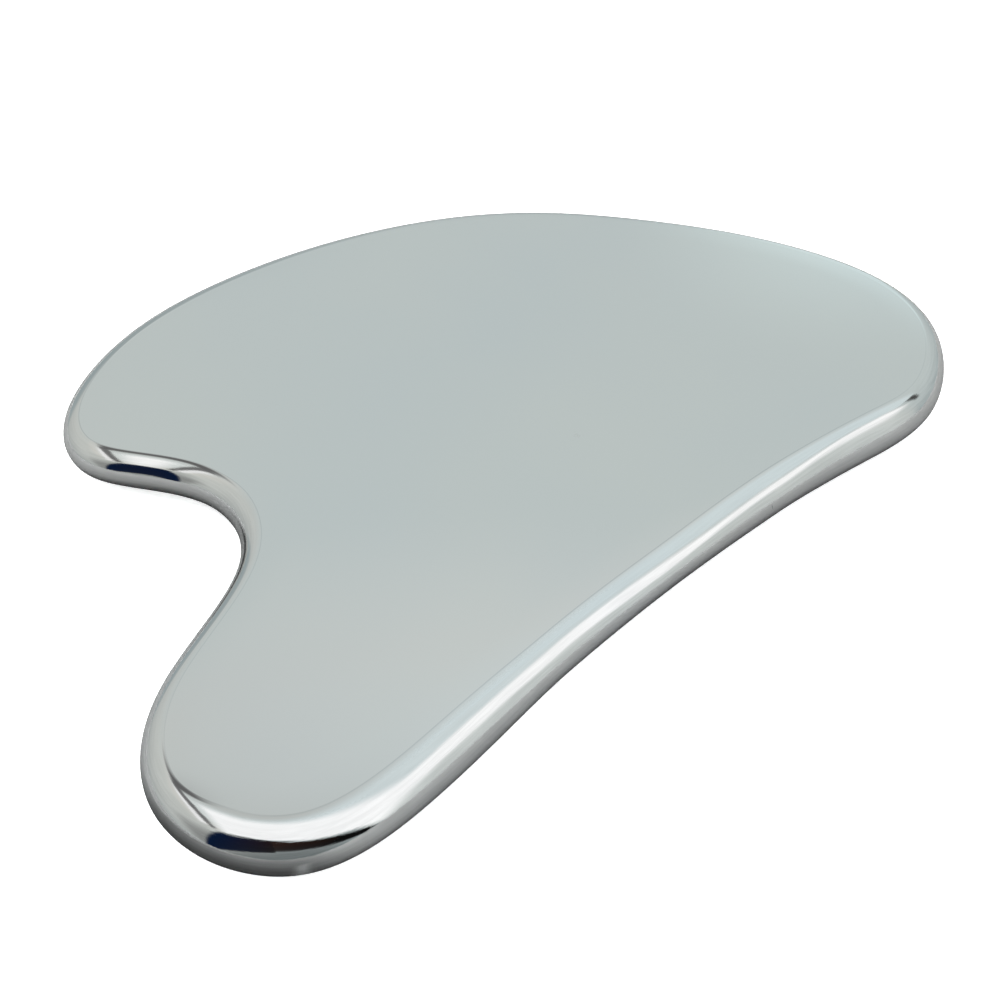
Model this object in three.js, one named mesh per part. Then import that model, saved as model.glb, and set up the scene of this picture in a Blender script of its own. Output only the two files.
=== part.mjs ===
// Gua sha scraper: a hand-held massage plate, one solid piece of polished steel.
//
// Millimetres, +Z up. The plate lies on its flat underside (z = 0). Its long, slightly
// hollow scraping edge runs along X on the -Y side, and the notch between its two lobes
// opens towards -X. Both flat faces are the same, and the rim is rounded all the way.

import * as THREE from 'three';
import { NURBSCurve } from 'three/addons/curves/NURBSCurve.js';

// Driving dimensions
const LENGTH = 90;          // X, from the large lobe to the nose
const THICKNESS = 4.6;      // Z, between the two flat faces
const RIM_LAND = 0.2;       // height of the upright band left around the middle of the rim
const OUTLINE_STEPS = 132;  // straight facets around the outline
const RIM_STEPS = 6;        // straight facets from the rim's middle up to one flat face
const SPLINE_DEGREE = 3;

// Control points of the outline's closed curve, anticlockwise seen from above. The curve is
// pulled towards each point without passing through it, so its curvature never jumps.
const OUTLINE_CONTROL = {
  largeLobe: [[-47, -19.5], [-41, -31.5], [-29, -31.5]],
  scrapingEdge: [[-14.5, -29.5], [-1, -29.5], [10.5, -29.5], [23, -30.5]],
  nose: [[32, -32.5], [43, -26], [46, -15], [42, -2]],
  back: [[36, 8], [29, 17.5], [20, 24.5], [9.5, 29], [-2, 31.5], [-16, 31.5]],
  smallLobe: [[-28.5, 25], [-32.5, 15.5]],
  notch: [[-23, 7], [-25, -5], [-40.5, -9.5]],
};

// A closed uniform B-spline: its first control points come round again at the end.
function closedSpline(points) {
  const wrapped = [...points, ...points.slice(0, SPLINE_DEGREE)];
  const knots = Array.from({ length: wrapped.length + SPLINE_DEGREE + 1 }, (_, i) => i);
  return new NURBSCurve(SPLINE_DEGREE, knots, wrapped, SPLINE_DEGREE, wrapped.length);
}

// The outline's corners, evenly spaced, centred on the origin and scaled to LENGTH.
function outlinePoints() {
  const control = Object.values(OUTLINE_CONTROL).flat().map(([x, y]) => new THREE.Vector3(x, y, 0));
  const ring = closedSpline(control).getSpacedPoints(OUTLINE_STEPS).slice(0, OUTLINE_STEPS);
  const box = new THREE.Box3().setFromPoints(ring);
  const middle = box.getCenter(new THREE.Vector3());
  const scale = LENGTH / box.getSize(new THREE.Vector3()).x;
  return ring.map((p) => new THREE.Vector2((p.x - middle.x) * scale, (p.y - middle.y) * scale));
}

// The plate: its outline is the widest line of the rim, and the rounding turns inwards
// from it by its own radius, so that each flat face starts one radius inside the outline.
function plateGeometry() {
  const radius = (THICKNESS - RIM_LAND) / 2;
  const plate = new THREE.ExtrudeGeometry(new THREE.Shape(outlinePoints()), {
    depth: RIM_LAND,
    bevelThickness: radius,
    bevelSize: radius,
    bevelOffset: -radius,
    bevelSegments: RIM_STEPS,
  });
  return plate.translate(0, 0, radius);
}

const mirrorPolishedSteel = new THREE.MeshStandardMaterial({
  color: 0xc4c9ca,
  roughness: 0.1,
  metalness: 1,
});

const plate = new THREE.Mesh(plateGeometry(), mirrorPolishedSteel);
plate.name = 'scraper_plate';

const scraper = new THREE.Group();
scraper.add(plate);

export default scraper;
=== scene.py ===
"""Gua sha scraper: one plate of mirror-polished steel on a white sweep, under soft studio light.

Metres, in the CAD frame: +X along the plate to its nose, +Y to its convex back, +Z up.
"""

import math

import bpy
import numpy as np
from mathutils import Matrix, Vector


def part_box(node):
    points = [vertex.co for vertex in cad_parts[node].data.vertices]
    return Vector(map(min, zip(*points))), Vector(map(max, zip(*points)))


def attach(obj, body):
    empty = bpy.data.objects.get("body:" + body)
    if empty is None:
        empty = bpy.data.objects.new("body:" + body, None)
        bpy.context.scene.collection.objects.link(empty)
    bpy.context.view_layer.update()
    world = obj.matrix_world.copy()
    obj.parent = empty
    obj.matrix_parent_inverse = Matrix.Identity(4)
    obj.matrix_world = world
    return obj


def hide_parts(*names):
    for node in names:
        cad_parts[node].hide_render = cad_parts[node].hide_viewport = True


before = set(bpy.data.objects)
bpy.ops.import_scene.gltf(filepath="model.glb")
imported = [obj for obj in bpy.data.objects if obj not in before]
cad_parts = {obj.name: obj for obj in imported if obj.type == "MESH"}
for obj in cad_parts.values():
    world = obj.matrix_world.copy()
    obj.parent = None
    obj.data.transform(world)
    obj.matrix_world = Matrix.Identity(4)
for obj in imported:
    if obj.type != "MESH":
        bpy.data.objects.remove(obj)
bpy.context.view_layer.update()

MM = 0.001
NODE = "scraper_plate"

# Plate: how finely the surface is built
OUTLINE_SAMPLES = 720       # around the plate
WALL_SAMPLES = 16           # rim, from its outermost point to where the arcs meet
BROW_SAMPLES = 14           # rim, from there up to the witness line
FACE_RINGS = 16             # from the crown's inner end to the hub of the face
FACE_HUB = (0.003, -0.004)  # the whole outline can be seen from this point

# Plate: the section of its edge, from the flat face outwards: a faint crown, the witness line
# where buffing stopped, a brow arc, then a wall arc down to the outermost point of the rim.
CROWN_TILT = math.radians(1.5)
ARC_TILT = math.radians(35.0)   # where the brow arc hands over to the wall arc
CROWN_STEPS = tuple(MM * w for w in (0.05, 0.12, 0.25, 0.45, 0.7, 1.0, 1.35, 1.75, 2.2, 2.7))

# The rim was rounded by hand, so it isn't the same all the way round. Each row gives a bearing
# from the hub in degrees, how far in from the outline the witness line runs, the height of
# the rim's outermost point (both in mm), the tilt of the metal just outside the line in
# degrees, and how plainly the line shows, from 0 to 1: the strength of the painted shade
# and the haze along it.
RIM = (
    (-173.0, 2.00, 2.40, 3.0, 0.5),  # large lobe, notch side
    (-164.0, 2.20, 2.20, 3.0, 0.3),
    (-155.0, 2.80, 2.00, 4.0, 0.3),
    (-149.0, 2.90, 1.95, 4.0, 0.6),  # large lobe, tip
    (-138.0, 2.80, 1.87, 4.0, 0.8),
    (-124.0, 2.50, 2.40, 4.5, 1.0),
    (-99.5, 2.49, 2.71, 4.5, 1.0),   # middle of the scraping edge
    (-71.0, 2.60, 2.30, 4.0, 1.0),
    (-51.5, 2.44, 1.78, 3.0, 0.8),
    (-44.0, 2.20, 2.00, 2.0, 0.4),
    (-15.0, 2.20, 2.30, 1.5, 0.0),   # nose
    (103.0, 2.30, 2.30, 1.5, 0.0),   # back
    (130.0, 1.95, 2.40, 6.0, 1.0),
    (140.0, 1.85, 2.50, 10.0, 1.0),
    (152.5, 1.80, 2.70, 10.5, 1.0),  # small lobe
    (160.0, 1.85, 2.60, 10.0, 1.0),
    (169.0, 2.00, 2.45, 4.0, 0.8),   # notch
)

# Wear: the centres of the nicks on the scraping edge, in metres, and half the size of each
NICKS = ((0.0105, -0.0296, 0.0029), (0.0096, -0.0296, 0.0020))
NICK_SIZE = (0.06 * MM, 0.5 * MM, 0.3 * MM)

# Camera
VIEW_AZIMUTH = math.radians(-41.88)
VIEW_ELEVATION = math.radians(44.0)
VIEW_ROLL = math.radians(1.0)
VIEW_DISTANCE = 0.11421
VIEW_TARGET = (-0.00562, -0.01235)
LENS = 46.8
SENSOR = 36.0

# Studio: panels that only the metal sees, each one nearer to the plate than the one before
DOME_RADIUS = 2.5
DOME_STEP = 0.05
PANEL_CELLS = 36

# Studio: the table that the metal mirrors, with shade and light painted into its tone: painted
# shade from the plate, deepest round the bearing of the large lobe's tip, and a painted streak
# of light across it there. Both bearings are from the hub, in degrees.
TABLE_DROP = 0.02 * MM
LARGE_LOBE_TIP = -157.0
TIP_SPREAD = 10.8
# the painted streak of light on the table: its bearing, spread, reach and brightness
GLINT = -149.2
GLINT_SPREAD = 0.55
GLINT_REACH = 3.0           # mm from the outline
GLINT_TONE = 0.09
# how far out from the outline in mm, and the table's painted tone there: in the open, by the tip
TABLE_TONES = (
    (-4, 0.04, 0.03),
    (0, 0.09, 0.04),
    (1.5, 0.17, 0.045),
    (3, 0.20, 0.06),
    (6, 0.22, 0.085),
    (12, 0.24, 0.11),
    (40, 0.27, 0.14),
    (700, 0.33, 0.24),
)

# Studio: the white sweep that the camera sees, and the lamp over it
SWEEP_DROP = 0.04 * MM
SWEEP_FLOOR_RADIUS = 0.9
SWEEP_WALL_RADIUS = 1.5
SWEEP_HEIGHT = 1.1
SWEEP_BEND_STEPS = 12
LAMP_SIZE = 1.6
LAMP_POWER = 22.0
LAMP_HEIGHT = 1.3


# ---------------------------------------------------------------- the plate's shape

def cad_outline():
    """The corners of the CAD plate's widest ring, anticlockwise, as an (n, 2) array."""
    low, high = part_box(NODE)
    co = np.array([v.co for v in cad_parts[NODE].data.vertices])
    middle = (low.z + high.z) / 2
    nearest = np.abs(co[:, 2] - middle).min()
    ring = co[(np.abs(co[:, 2] - middle) < nearest + 1e-6) & (co[:, 2] < middle)][:, :2]
    ring = np.unique(np.round(ring, 8), axis=0)
    return ring[np.argsort(bearing(ring))]


def bearing(points):
    """The direction of each point from the hub of the face, in degrees."""
    return np.degrees(np.arctan2(points[:, 1] - FACE_HUB[1], points[:, 0] - FACE_HUB[0]))


def closed_spline(points, count):
    """A closed cubic spline through evenly spaced points: (positions, outward normals)."""
    n = len(points)
    coupling = 4 * np.eye(n) + np.roll(np.eye(n), 1, 0) + np.roll(np.eye(n), -1, 0)
    bend = np.linalg.solve(
        coupling, 6 * (np.roll(points, 1, 0) - 2 * points + np.roll(points, -1, 0))
    )
    t = np.arange(count) * n / count
    i = t.astype(int)
    j = (i + 1) % n
    b = (t - i)[:, None]
    a = 1 - b
    position = a * points[i] + b * points[j] + ((a**3 - a) * bend[i] + (b**3 - b) * bend[j]) / 6
    tangent = points[j] - points[i] + ((1 - 3 * a**2) * bend[i] + (3 * b**2 - 1) * bend[j]) / 6
    tangent /= np.linalg.norm(tangent, axis=1)[:, None]
    return position, np.stack([tangent[:, 1], -tangent[:, 0]], axis=1)


def plate_outline():
    """The outline as (positions, outward normals), fitted into the CAD plate's box."""
    low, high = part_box(NODE)
    outline, outward = closed_spline(cad_outline(), OUTLINE_SAMPLES)
    size = np.array([high.x - low.x, high.y - low.y])
    excess = (np.ptp(outline, axis=0) - size).max() / 2
    outline = outline - max(excess, 0) * outward
    middle = np.array([high.x + low.x, high.y + low.y]) / 2
    drawn = (outline.max(axis=0) + outline.min(axis=0)) / 2
    return outline + middle - drawn, outward


def rim_at(points):
    """(inset of the line, height of the outermost point, tilt, plainness) at each point."""
    rows = np.array(RIM)
    rows = np.vstack([rows, rows[0] + (360, 0, 0, 0, 0)])
    turn = (bearing(points) - rows[0, 0]) % 360 + rows[0, 0]
    i = np.searchsorted(rows[:, 0], turn, side="right") - 1
    t = (turn - rows[i, 0]) / (rows[i + 1, 0] - rows[i, 0])
    t = (t * t * (3 - 2 * t))[:, None]
    inset, height, tilt, plainness = (rows[i, 1:] + (rows[i + 1, 1:] - rows[i, 1:]) * t).T
    return inset * MM, height * MM, np.radians(tilt), plainness


def edge_section(inset, rise, tilt):
    """The rings of one side of the edge, from the outermost point to the crown's inner end.

    inset: from the outline to the witness line. rise: from the outermost point up to the
    flat face. tilt: of the metal just outside the line. Returns a list of
    (inset, height, is_line), each with one value for every sample of the outline.
    """
    crown_width = CROWN_STEPS[-1]
    drop = math.tan(CROWN_TILT) * crown_width / 2
    # two arcs, brow then wall, that meet at ARC_TILT and span the inset and the rise
    brow_x, wall_x = math.sin(ARC_TILT) - np.sin(tilt), 1 - math.sin(ARC_TILT)
    brow_z, wall_z = np.cos(tilt) - math.cos(ARC_TILT), math.cos(ARC_TILT)
    height = rise - drop
    scale = brow_x * wall_z - wall_x * brow_z
    brow = (inset * wall_z - wall_x * height) / scale
    wall = (brow_x * height - inset * brow_z) / scale
    rings = []
    for lean in np.linspace(math.pi / 2, ARC_TILT, WALL_SAMPLES):
        rings.append((wall * (1 - math.sin(lean)), wall * math.cos(lean), 0))
    foot_x, foot_z = rings[-1][:2]
    for share in np.linspace(0, 1, BROW_SAMPLES + 1)[1:]:
        lean = ARC_TILT + (tilt - ARC_TILT) * share
        x = foot_x + brow * (math.sin(ARC_TILT) - np.sin(lean))
        z = foot_z + brow * (np.cos(lean) - math.cos(ARC_TILT))
        rings.append((x, z, int(share == 1)))
    for width in CROWN_STEPS:
        lift = math.tan(CROWN_TILT) * (width - width**2 / (2 * crown_width))
        rings.append((inset + width, height + lift, 0))
    return rings


def half_rings(upper):
    """Rings of the upper or lower half, each (positions, line strength), outermost first."""
    low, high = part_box(NODE)
    outline, outward = plate_outline()
    inset, widest, tilt, plainness = rim_at(outline)
    thickness = high.z - low.z
    rise = thickness - widest if upper else widest
    if not upper:
        inset = widest
    level, sign = low.z + widest, 1 if upper else -1
    rings = []
    for x, z, is_line in edge_section(inset, rise, tilt):
        flat = outline - x[:, None] * outward
        rings.append((np.column_stack([flat, level + sign * z]), is_line * plainness))
    brink = rings[-1][0]
    hub = np.array([*FACE_HUB, high.z if upper else low.z])
    for k in range(1, FACE_RINGS):
        rings.append((brink + (hub - brink) * k / FACE_RINGS, np.zeros(len(brink))))
    return rings, hub


def build_plate():
    """The plate as one closed mesh, with its edge map and the two masks its steel reads."""
    upper, top_hub = half_rings(True)
    lower, under_hub = half_rings(False)
    rings = lower[:0:-1] + upper
    n = OUTLINE_SAMPLES
    verts = np.concatenate([ring for ring, line in rings] + [[under_hub], [top_hub]])
    lines = np.concatenate([line for ring, line in rings] + [[0, 0]])
    under, top = len(verts) - 2, len(verts) - 1
    last = (len(rings) - 1) * n

    along = np.linalg.norm(np.roll(upper[0][0], -1, 0) - upper[0][0], axis=1)
    along = np.concatenate([[0], np.cumsum(along)])
    steps = [np.linalg.norm(b - a, axis=1).mean() for (a, _), (b, _) in zip(rings, rings[1:])]
    across = np.concatenate([[0], np.cumsum(steps)])

    faces, uvs = [], []
    for r in range(len(rings) - 1):
        for i in range(n):
            j = (i + 1) % n
            faces.append((r * n + i, r * n + j, (r + 1) * n + j, (r + 1) * n + i))
            u, v = along[i : i + 2], across[r : r + 2]
            uvs += [(u[0], v[0]), (u[1], v[0]), (u[1], v[1]), (u[0], v[1])]
    for i in range(n):
        j = (i + 1) % n
        faces.append((j, i, under))
        uvs += [(along[i + 1], 0), (along[i], 0), (along[i], 0)]
        faces.append((last + i, last + j, top))
        uvs += [(along[i], across[-1]), (along[i + 1], across[-1]), (along[i], across[-1])]

    mesh = bpy.data.meshes.new("polished_plate")
    mesh.from_pydata(verts.tolist(), [], faces)
    layer = mesh.uv_layers.new(name="edge_map")
    layer.data.foreach_set("uv", np.array(uvs, np.float32).ravel())
    attribute = mesh.attributes.new("witness_line", "FLOAT", "POINT")
    attribute.data.foreach_set("value", lines.astype(np.float32))
    attribute = mesh.attributes.new("on_rim", "FLOAT", "POINT")
    attribute.data.foreach_set("value", rim_mask(len(lower) - 1, len(rings), n))
    mesh.polygons.foreach_set("use_smooth", [True] * len(mesh.polygons))
    mesh.validate()
    plate = bpy.data.objects.new("polished_plate", mesh)
    bpy.context.scene.collection.objects.link(plate)
    return plate


def rim_mask(widest_ring, ring_count, n):
    """1 on the rim's walls, fading out over the brow arc, 0 on the crowns and faces."""
    steps = np.abs(np.arange(ring_count) - widest_ring)
    mask = np.clip((WALL_SAMPLES + BROW_SAMPLES - 1 - steps) / BROW_SAMPLES, 0, 1)
    return np.append(np.repeat(mask, n), [0, 0]).astype(np.float32)


# ---------------------------------------------------------------- node helpers

class Nodes:
    """A small wrapper that adds nodes to a material or world and links them by name."""

    def __init__(self, owner):
        owner.use_nodes = True
        self.tree = owner.node_tree
        self.tree.nodes.clear()

    def add(self, kind, inputs=None, **settings):
        node = self.tree.nodes.new(kind)
        for name, value in settings.items():
            setattr(node, name, value)
        for name, value in (inputs or {}).items():
            self.feed(node.inputs[name], value)
        return node

    def feed(self, socket, value):
        if isinstance(value, bpy.types.NodeSocket):
            self.tree.links.new(value, socket)
        else:
            socket.default_value = value

    def attribute(self, name):
        return self.add("ShaderNodeAttribute", attribute_name=name).outputs

    def math(self, operation, *values):
        node = self.add("ShaderNodeMath", operation=operation)
        for socket, value in zip(node.inputs, values):
            self.feed(socket, value)
        return node.outputs[0]

    def ramp(self, factor, *stops):
        node = self.add("ShaderNodeValToRGB", {"Fac": factor})
        elements = node.color_ramp.elements
        while len(elements) < len(stops):
            elements.new(1.0)
        for element, (position, colour) in zip(elements, stops):
            element.position = position
            element.color = (*colour, 1)
        return node.outputs["Color"]

    def remap(self, value, low, high, to_low=0.0, to_high=1.0):
        node = self.add(
            "ShaderNodeMapRange",
            {
                "Value": value,
                "From Min": low,
                "From Max": high,
                "To Min": to_low,
                "To Max": to_high,
            },
            interpolation_type="SMOOTHSTEP",
        )
        return node.outputs[0]


# ---------------------------------------------------------------- the steel

def buffing_streaks(nodes):
    """Fine streaks that run along the rim."""
    edge_map = nodes.add("ShaderNodeUVMap", uv_map="edge_map").outputs["UV"]
    stretched = nodes.add("ShaderNodeMapping", {"Vector": edge_map, "Scale": (220.0, 4500.0, 1.0)})
    noise = nodes.add(
        "ShaderNodeTexNoise",
        {"Vector": stretched.outputs["Vector"], "Scale": 1.0, "Detail": 5.0, "Roughness": 0.65},
    )
    return noise.outputs["Fac"]


def specks_of_dust(nodes, place):
    """1 on a few tiny specks, 0 elsewhere."""
    spacing = nodes.add("ShaderNodeTexVoronoi", {"Vector": place, "Scale": 75.0}).outputs[0]
    return nodes.remap(spacing, 0.012, 0.03, 1.0, 0.0)


def nick_marks(nodes, place):
    """1 in each nick on the scraping edge, 0 elsewhere. A nick is cut across the rim."""
    marks = 0.0
    for nick in NICKS:
        local = nodes.add(
            "ShaderNodeMapping",
            {"Vector": place, "Location": nick, "Scale": NICK_SIZE},
            vector_type="TEXTURE",
        )
        reach = nodes.add(
            "ShaderNodeVectorMath", {0: local.outputs["Vector"]}, operation="LENGTH"
        )
        mark = nodes.remap(reach.outputs["Value"], 0.4, 1.0, 1.0, 0.0)
        marks = nodes.math("MAXIMUM", marks, mark)
    return marks


def steel_colour(nodes, place, line, wear_and_nick_shade):
    """Soft clouds of warmer and cooler steel, dulled by streaks and specks, with painted shade on
    the witness line and in the nicks.
    """
    cloud = nodes.add(
        "ShaderNodeTexNoise", {"Vector": place, "Scale": 38.0, "Detail": 2.0, "Roughness": 0.45}
    ).outputs["Fac"]
    colour = nodes.ramp(cloud, (0.3, (0.665, 0.675, 0.68)), (0.7, (0.69, 0.69, 0.68)))
    # painted shade: the crease of the witness line is darkened in colour
    line_shaded = nodes.add(
        "ShaderNodeMix",
        {"Factor": nodes.math("MULTIPLY", line, 0.5), 6: colour, 7: (0.36, 0.39, 0.41, 1)},
        data_type="RGBA",
    ).outputs[2]
    kept = nodes.math("SUBTRACT", 1.0, wear_and_nick_shade)
    return nodes.add(
        "ShaderNodeVectorMath", {0: line_shaded, "Scale": kept}, operation="SCALE"
    ).outputs[0]


def steel_roughness(nodes, place, on_rim, line, streaks, specks):
    """Wiping haze on the faces and streaks on the rim, rougher on the line and the specks."""
    haze = nodes.add(
        "ShaderNodeTexNoise", {"Vector": place, "Scale": 120.0, "Detail": 5.0, "Roughness": 0.65}
    ).outputs["Fac"]
    on_face = nodes.remap(haze, 0.35, 0.75, 0.025, 0.06)
    on_wall = nodes.remap(streaks, 0.3, 0.75, 0.015, 0.07)
    roughness = nodes.add(
        "ShaderNodeMix", {"Factor": on_rim, 2: on_face, 3: on_wall}, data_type="FLOAT"
    ).outputs[0]
    roughness = nodes.math("ADD", roughness, nodes.math("MULTIPLY", line, 0.1))
    return nodes.math("ADD", roughness, nodes.math("MULTIPLY", specks, 0.25))


def polished_steel():
    """Mirror-polished stainless steel, with the traces that buffing, wiping and use leave, and
    painted shade on its witness line and nicks.
    """
    material = bpy.data.materials.new("mirror_polished_steel")
    nodes = Nodes(material)
    place = nodes.add("ShaderNodeTexCoord").outputs["Object"]
    on_rim = nodes.attribute("on_rim")["Fac"]
    line = nodes.attribute("witness_line")["Fac"]
    streaks = buffing_streaks(nodes)
    specks = specks_of_dust(nodes, place)
    nicks = nick_marks(nodes, place)

    # how much darker the metal is along the rim's streaks and on specks, and the painted shade in
    # the nicks
    wear_and_nick_shade = nodes.math("MULTIPLY", nodes.remap(streaks, 0.3, 0.7, 0.09, -0.03), on_rim)
    wear_and_nick_shade = nodes.math("ADD", wear_and_nick_shade, nodes.math("MULTIPLY", specks, 0.05))
    # painted shade: the recess of each nick is darkened in colour
    wear_and_nick_shade = nodes.math("ADD", wear_and_nick_shade, nodes.math("MULTIPLY", nicks, 0.55))

    height = nodes.math("MULTIPLY", streaks, on_rim)
    height = nodes.math("SUBTRACT", height, nodes.math("MULTIPLY", nicks, 12.0))
    bump = nodes.add(
        "ShaderNodeBump", {"Strength": 0.25, "Distance": 0.02 * MM, "Height": height}
    )
    shader = nodes.add(
        "ShaderNodeBsdfPrincipled",
        {
            "Base Color": steel_colour(nodes, place, line, wear_and_nick_shade),
            "Metallic": 1.0,
            "Roughness": steel_roughness(nodes, place, on_rim, line, streaks, specks),
            "Normal": bump.outputs["Normal"],
        },
    )
    nodes.add("ShaderNodeOutputMaterial", {"Surface": shader.outputs[0]})
    return material


# ---------------------------------------------------------------- the studio

def heading():
    """(to the right, away) across the floor, as the camera sees it."""
    away = Vector((-math.sin(VIEW_AZIMUTH), math.cos(VIEW_AZIMUTH), 0))
    return Vector((away.y, -away.x, 0)), away


def overhead_direction(right_degrees, away_degrees):
    """The direction that lies so many degrees from straight up, towards right and away."""
    right, away = heading()
    lean = math.radians(math.hypot(right_degrees, away_degrees))
    turn = math.atan2(right_degrees, away_degrees)
    across = right * math.sin(turn) + away * math.cos(turn)
    return across * math.sin(lean) + Vector((0, 0, math.cos(lean)))


def only_in_reflections(obj):
    obj.visible_camera = False
    obj.visible_shadow = False
    obj.visible_diffuse = False


def panel(name, radius, corners, radiance, feather):
    """A curved studio panel that only the metal sees.

    radius: its distance from the plate.
    corners: four (right, away) leans from straight up, in degrees, in order round the panel.
    radiance: the colour at each corner.
    feather: how far in each of the edges 0-1, 1-2, 2-3 and 3-0 fades, as a share of the panel.
    """
    n = PANEL_CELLS
    corners = np.array(corners, float)
    radiance = np.array(radiance, float)
    verts, colours = [], []
    for j in range(n + 1):
        t = j / n
        for i in range(n + 1):
            s = i / n
            weights = np.array([(1 - s) * (1 - t), s * (1 - t), s * t, (1 - s) * t])
            verts.append(tuple(overhead_direction(*(weights @ corners)) * radius))
            opacity = 1.0
            for inset, width in zip((t, 1 - s, 1 - t, s), feather):
                x = min(inset / width, 1.0) if width > 0 else 1.0
                opacity *= x * x * (3 - 2 * x)
            colours.append((*(weights @ radiance), opacity))
    row = n + 1
    faces = [
        (j * row + i, j * row + i + 1, (j + 1) * row + i + 1, (j + 1) * row + i)
        for j in range(n)
        for i in range(n)
    ]
    mesh = bpy.data.meshes.new(name)
    mesh.from_pydata(verts, [], faces)
    attribute = mesh.color_attributes.new("radiance", "FLOAT_COLOR", "POINT")
    attribute.data.foreach_set("color", np.array(colours, np.float32).ravel())
    mesh.materials.append(glowing_panel(name))
    obj = bpy.data.objects.new(name, mesh)
    bpy.context.scene.collection.objects.link(obj)
    only_in_reflections(obj)


def glowing_panel(name):
    """A material that gives off its mesh's own colours, and is clear where their alpha is 0."""
    material = bpy.data.materials.new(name)
    nodes = Nodes(material)
    radiance = nodes.attribute("radiance")
    light = nodes.add("ShaderNodeEmission", {"Color": radiance["Color"]}).outputs[0]
    clear = nodes.add("ShaderNodeBsdfTransparent").outputs[0]
    mixed = nodes.add("ShaderNodeMixShader", {0: radiance["Alpha"], 1: clear, 2: light})
    nodes.add("ShaderNodeOutputMaterial", {"Surface": mixed.outputs[0]})
    return material


def grey(value):
    return (value, value, value)


def even(colour):
    """The same colour at all four corners of a panel."""
    return 4 * (colour,)


def build_panels():
    """What the metal mirrors: walls and shades, a softbox, the dark behind the camera, strips."""
    panels = (
        (
            "far_shade",
            ((-84, 46), (-6, 56), (-2, 88), (-60, 78)),
            even((0.42, 0.485, 0.495)),
            (0.3, 0.4, 0.02, 0.1),
        ),
        (
            "pale_wall",
            ((5, 53), (34, 46), (46, 78), (11, 90)),
            even((0.86, 1.00, 1.01)),
            (0.25, 0.3, 0.02, 0.45),
        ),
        (
            "right_wall",
            ((52, -60), (92, -50), (90, 4), (52, 10)),
            ((1.02, 1.07, 1.05), (0.82, 0.86, 0.85), (0.62, 0.655, 0.65), (0.79, 0.84, 0.81)),
            (0.05, 0.02, 0.3, 0.12),
        ),
        (
            "near_shade",
            ((-76, -50), (-50, -70), (-34, -14), (-74, -8)),
            even((0.36, 0.37, 0.36)),
            (0.02, 0.1, 0.6, 0.5),
        ),
        (
            "ceiling_shade",
            ((-44, 6), (16, 2), (20, 40), (-34, 48)),
            even((0.67, 0.70, 0.68)),
            (0.35, 0.5, 0.55, 0.4),
        ),
        (
            "pale_ceiling",
            ((6, 14), (47, 8), (47, 26), (16, 44)),
            even((0.87, 0.98, 1.00)),
            (0.15, 0.12, 0.35, 0.35),
        ),
        (
            "softbox",
            ((-35, -24), (84, -57), (58, -9), (-25, 15)),
            (grey(1.30), grey(1.42), grey(1.40), grey(1.36)),
            (0.03, 0.22, 0.28, 0.02),
        ),
        (
            "softbox_end",
            ((31, -28), (65, -29), (59, 9), (31, 11)),
            even(grey(1.39)),
            (0.3, 0.38, 0.12, 0.25),
        ),
        (
            "dark_navy",
            ((-78, -68), (-12, -65), (-12, -30), (-35, -23)),
            ((0.002, 0.013, 0.050), grey(0.02), (0.02, 0.01, 0.01), (0.002, 0.013, 0.050)),
            (0.05, 0.0, 0.06, 0.08),
        ),
        (
            "dark_middle",
            ((-12, -65), (34, -68), (34, -46), (-12, -30)),
            (grey(0.03), grey(0.01), (0.01, 0.006, 0.005), (0.035, 0.015, 0.010)),
            (0.2, 0.0, 0.08, 0.0),
        ),
        (
            "dark_right",
            ((34, -68), (74, -63), (74, -57), (34, -46)),
            even(grey(0.005)),
            (0.2, 0.10, 0.10, 0.0),
        ),
        (
            "side_strip",
            ((-42, -21), (-37, -22), (-29, 20), (-35, 20)),
            even(grey(1.15)),
            (0.1, 0.2, 0.3, 0.4),
        ),
        (
            "side_gap",
            ((-37.5, -23), (-34.5, -23), (-25, 24), (-32, 24)),
            even(grey(0.22)),
            (0.04, 0.25, 0.1, 0.35),
        ),
        (
            "side_shade",
            ((-32, 14), (-18, 16), (-12, 31), (-31, 34)),
            even(grey(0.17)),
            (0.25, 0.30, 0.45, 0.3),
        ),
        (
            "clip",
            ((42, 14), (63, 8), (66, 15), (42, 25)),
            even(grey(0.10)),
            (0.25, 0.2, 0.25, 0.2),
        ),
    )
    for i, (name, corners, radiance, feather) in enumerate(panels):
        panel(name, DOME_RADIUS - DOME_STEP * i, corners, radiance, feather)


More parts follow.
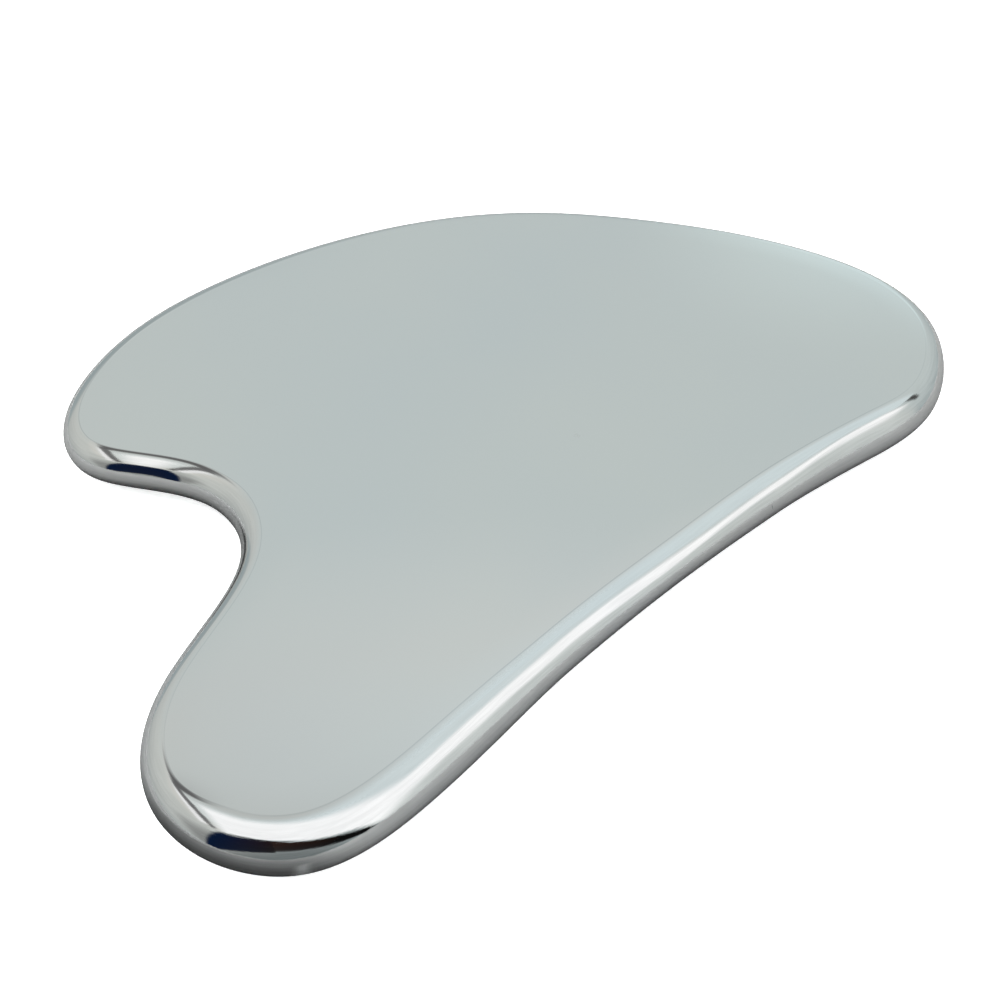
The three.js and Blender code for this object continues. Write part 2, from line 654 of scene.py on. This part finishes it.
def build_world():
    """A pale room: lighter overhead, darker behind the camera, warmer to the camera's left."""
    world = bpy.data.worlds.new("pale_room")
    nodes = Nodes(world)
    direction = nodes.add("ShaderNodeTexCoord").outputs["Generated"]
    height = nodes.add("ShaderNodeSeparateXYZ", {0: direction}).outputs["Z"]
    colour = nodes.ramp(
        nodes.math("MULTIPLY_ADD", height, 0.5, 0.5),
        (0.50, (0.52, 0.59, 0.60)),
        (0.60, (0.60, 0.67, 0.675)),
        (0.75, (0.69, 0.765, 0.765)),
        (0.85, (0.71, 0.785, 0.78)),
        (0.885, (0.80, 0.85, 0.835)),
        (0.925, (0.87, 0.965, 0.975)),
    )
    right, away = heading()

    def toward(axis):
        return nodes.add("ShaderNodeVectorMath", {0: direction, 1: axis}, operation="DOT_PRODUCT")

    near = nodes.remap(toward(-away).outputs["Value"], 0.45, 1.0, 0.0, 0.62)
    dimmed = nodes.add(
        "ShaderNodeMix",
        {"Factor": near, 6: colour, 7: (0, 0, 0, 1)},
        data_type="RGBA",
    ).outputs[2]
    left = nodes.remap(toward(-right).outputs["Value"], 0.1, 0.7)
    warmed = nodes.add(
        "ShaderNodeMix",
        {"Factor": left, 6: dimmed, 7: (1.06, 0.99, 0.95, 1)},
        data_type="RGBA",
        blend_type="MULTIPLY",
    ).outputs[2]
    background = nodes.add("ShaderNodeBackground", {"Color": warmed, "Strength": 1.0})
    nodes.add("ShaderNodeOutputWorld", {"Surface": background.outputs[0]})
    bpy.context.scene.world = world


def lit_acrylic():
    """The matt white floor, lit a little from below, as on a product photographer's table."""
    material = bpy.data.materials.new("lit_acrylic")
    nodes = Nodes(material)
    shader = nodes.add(
        "ShaderNodeBsdfPrincipled",
        {
            "Base Color": (0.92, 0.92, 0.92, 1),
            "Roughness": 0.9,
            "Specular IOR Level": 0.0,
            "Emission Color": (1.0, 1.0, 1.0, 1),
            "Emission Strength": 0.55,
        },
    )
    nodes.add("ShaderNodeOutputMaterial", {"Surface": shader.outputs[0]})
    return material


def turned_sheet(name, profile, steps=128):
    """A surface of revolution about Z through (radius, height) points, from its centre out."""
    verts = [(0, 0, profile[0][1])]
    for radius, height in profile[1:]:
        for i in range(steps):
            a = 2 * math.pi * i / steps
            verts.append((radius * math.cos(a), radius * math.sin(a), height))
    faces = [(0, 1 + i, 1 + (i + 1) % steps) for i in range(steps)]
    for r in range(len(profile) - 2):
        for i in range(steps):
            j = (i + 1) % steps
            a, b = 1 + r * steps, 1 + (r + 1) * steps
            faces.append((a + i, b + i, b + j, a + j))
    mesh = bpy.data.meshes.new(name)
    mesh.from_pydata(verts, [], faces)
    mesh.polygons.foreach_set("use_smooth", [True] * len(mesh.polygons))
    obj = bpy.data.objects.new(name, mesh)
    bpy.context.scene.collection.objects.link(obj)
    return obj


def build_sweep():
    """The white floor, which curves up into a wall all round. The metal doesn't see it."""
    profile = [(0.0, -SWEEP_DROP), (0.2, -SWEEP_DROP), (SWEEP_FLOOR_RADIUS, -SWEEP_DROP)]
    for k in range(1, SWEEP_BEND_STEPS + 1):
        a = math.pi / 2 * k / SWEEP_BEND_STEPS
        radius = SWEEP_FLOOR_RADIUS + (SWEEP_WALL_RADIUS - SWEEP_FLOOR_RADIUS) * math.sin(a)
        profile.append((radius, SWEEP_HEIGHT * (1 - math.cos(a)) - SWEEP_DROP))
    sweep = turned_sheet("sweep", profile)
    sweep.data.materials.append(lit_acrylic())
    sweep.visible_glossy = False


def build_table():
    """The grey table top that the metal mirrors, painted darker where the plate would shade it."""
    outline, outward = plate_outline()
    n = len(outline)
    off_tip = (bearing(outline) - LARGE_LOBE_TIP + 180) % 360 - 180
    at_tip = np.exp(-((off_tip / TIP_SPREAD) ** 6))
    glint = GLINT_TONE * np.exp(-(((bearing(outline) - GLINT) / GLINT_SPREAD) ** 2))
    verts, tones, faces = [], [], []
    for distance, open_tone, tip_tone in TABLE_TONES:
        verts += [(x, y, -TABLE_DROP) for x, y in outline + distance * MM * outward]
        # painted shade: darker towards the outline, and darker still round the large lobe's tip
        tone = open_tone + (tip_tone - open_tone) * at_tip
        # painted light: a streak of light across the table close to the tip
        if distance <= GLINT_REACH:
            tone = tone + glint
        tones.append(np.stack([tone, tone, tone, np.ones(n)], axis=1))
    for r in range(len(TABLE_TONES) - 1):
        for i in range(n):
            j = (i + 1) % n
            faces.append((r * n + i, (r + 1) * n + i, (r + 1) * n + j, r * n + j))
    mesh = bpy.data.meshes.new("table")
    mesh.from_pydata(verts, [], faces)
    attribute = mesh.color_attributes.new("tone", "FLOAT_COLOR", "POINT")
    attribute.data.foreach_set("color", np.concatenate(tones).astype(np.float32).ravel())
    table = bpy.data.objects.new("table", mesh)
    bpy.context.scene.collection.objects.link(table)
    material = bpy.data.materials.new("grey_table")
    nodes = Nodes(material)
    tone = nodes.attribute("tone")["Color"]
    shader = nodes.add(
        "ShaderNodeBsdfPrincipled",
        {"Base Color": tone, "Roughness": 0.9, "Specular IOR Level": 0.0},
    )
    nodes.add("ShaderNodeOutputMaterial", {"Surface": shader.outputs[0]})
    mesh.materials.append(material)
    only_in_reflections(table)


def build_lamp():
    """One wide lamp overhead, which lights the sweep and gives the plate its soft shadow."""
    light = bpy.data.lights.new("overhead_lamp", "AREA")
    light.shape = "DISK"
    light.size = LAMP_SIZE
    light.energy = LAMP_POWER
    lamp = bpy.data.objects.new("overhead_lamp", light)
    lamp.location = (0, 0, LAMP_HEIGHT)
    lamp.visible_glossy = False
    lamp.visible_camera = False
    bpy.context.scene.collection.objects.link(lamp)


def build_camera():
    """The camera, at the photograph's angle: looking down from the side of the scraping edge."""
    low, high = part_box(NODE)
    target = Vector((*VIEW_TARGET, (low.z + high.z) / 2))
    right, away = heading()
    forward = away * math.cos(VIEW_ELEVATION) - Vector((0, 0, math.sin(VIEW_ELEVATION)))
    down = forward.cross(right)
    rolled_right = right * math.cos(VIEW_ROLL) + down * math.sin(VIEW_ROLL)
    rolled_down = down * math.cos(VIEW_ROLL) - right * math.sin(VIEW_ROLL)
    data = bpy.data.cameras.new("camera")
    data.lens = LENS
    data.sensor_width = SENSOR
    data.clip_start = 0.001
    camera = bpy.data.objects.new("camera", data)
    rotation = Matrix((rolled_right, -rolled_down, -forward)).transposed().to_4x4()
    camera.matrix_world = Matrix.Translation(target - forward * VIEW_DISTANCE) @ rotation
    bpy.context.scene.collection.objects.link(camera)
    bpy.context.scene.camera = camera


build_camera()
build_world()
build_sweep()
build_table()
build_lamp()
build_panels()
bpy.context.scene.view_settings.view_transform = "Standard"

plate = build_plate()
plate.data.materials.append(polished_steel())
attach(plate, "root")
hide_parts(NODE)
